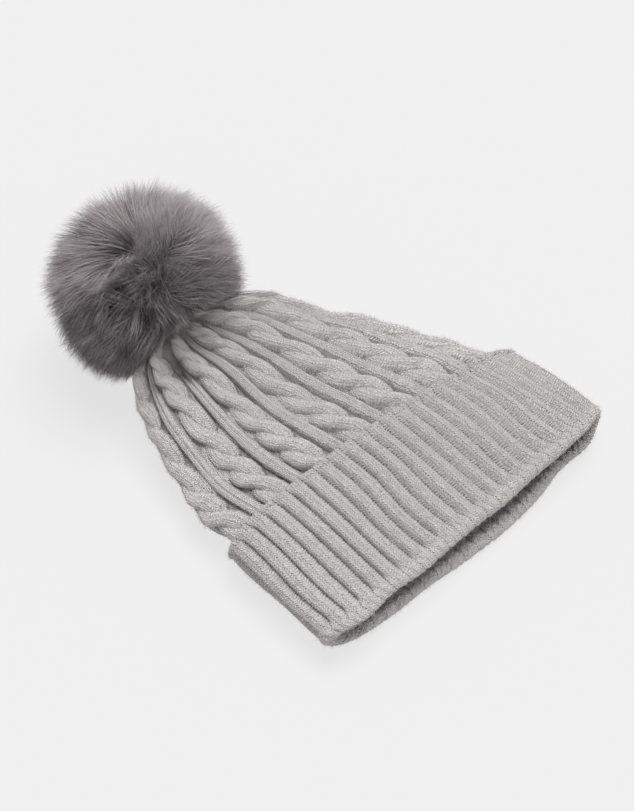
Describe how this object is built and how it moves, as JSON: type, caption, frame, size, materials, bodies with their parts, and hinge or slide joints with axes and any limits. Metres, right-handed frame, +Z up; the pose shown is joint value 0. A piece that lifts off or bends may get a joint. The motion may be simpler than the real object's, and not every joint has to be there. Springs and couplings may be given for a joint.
{
  "type": "pom pom beanie",
  "caption": "Cable-knit winter hat with a turned-up rib cuff and a faux-fur pom on a press stud, lying flat with its mouth slightly open.",
  "frame": {"origin": "on the surface the hat lies on, at the middle of its box seen from above", "axes": "+Z up from the surface, +Y from the mouth towards the pom, +X across the hat"},
  "size_m": [0.2214, 0.2894, 0.1142],
  "materials": {
    "rib_knit": "matte",
    "cable_knit": "matte",
    "yarn": "matte",
    "felt": "matte",
    "stud_metal": "satin",
    "cap_plastic": "matte",
    "fur_backing": "matte",
    "filling": "matte",
    "thread": "matte",
    "fur": "matte"
  },
  "bodies": {
    "hat_back": {"cuff_back": "rib_knit", "crown_back": "cable_knit", "crown_top": "cable_knit", "back_seam": "yarn"},
    "hat_front": {"cuff_front": "rib_knit", "crown_front": "cable_knit"},
    "gather": {"gather_yarn": "yarn"},
    "washer": {"felt_washer": "felt"},
    "stud": {"stud_post": "stud_metal", "stud_head": "stud_metal"},
    "pom": {"socket_cup": "stud_metal", "socket_spring": "stud_metal", "socket_cap": "cap_plastic", "pom_backing": "fur_backing", "pom_filling": "filling", "pom_thread": "thread", "pom_fur": "fur"}
  },
  "joints": [
    {"name": "mouth_open", "type": "hinge", "parent": "hat_back", "child": "hat_front", "pos_m": [-0.0186, 0.02436, 0.0414], "axis": [-1, 0, 0], "range_deg": [0, 14]},
    {"name": "pom_swing", "type": "hinge", "parent": "hat_back", "child": "gather", "pos_m": [-0.03, 0.06127, 0.04169], "axis": [0, -0.5, 0.866], "range_deg": [-12, 12], "stiffness_Nm_per_rad": 0.02},
    {"name": "pom_tilt", "type": "hinge", "parent": "gather", "child": "washer", "pos_m": [-0.03, 0.06127, 0.04169], "axis": [1, 0, 0], "range_deg": [0, 15]},
    {"name": "pom_spin", "type": "hinge", "parent": "washer", "child": "stud", "pos_m": [-0.03, 0.06127, 0.04169], "axis": [0, 0.866, 0.5], "continuous": true},
    {"name": "pom_pull", "type": "slide", "parent": "stud", "child": "pom", "axis": [0, 0.866, 0.5], "range_m": [0, 0.03]}
  ]
}
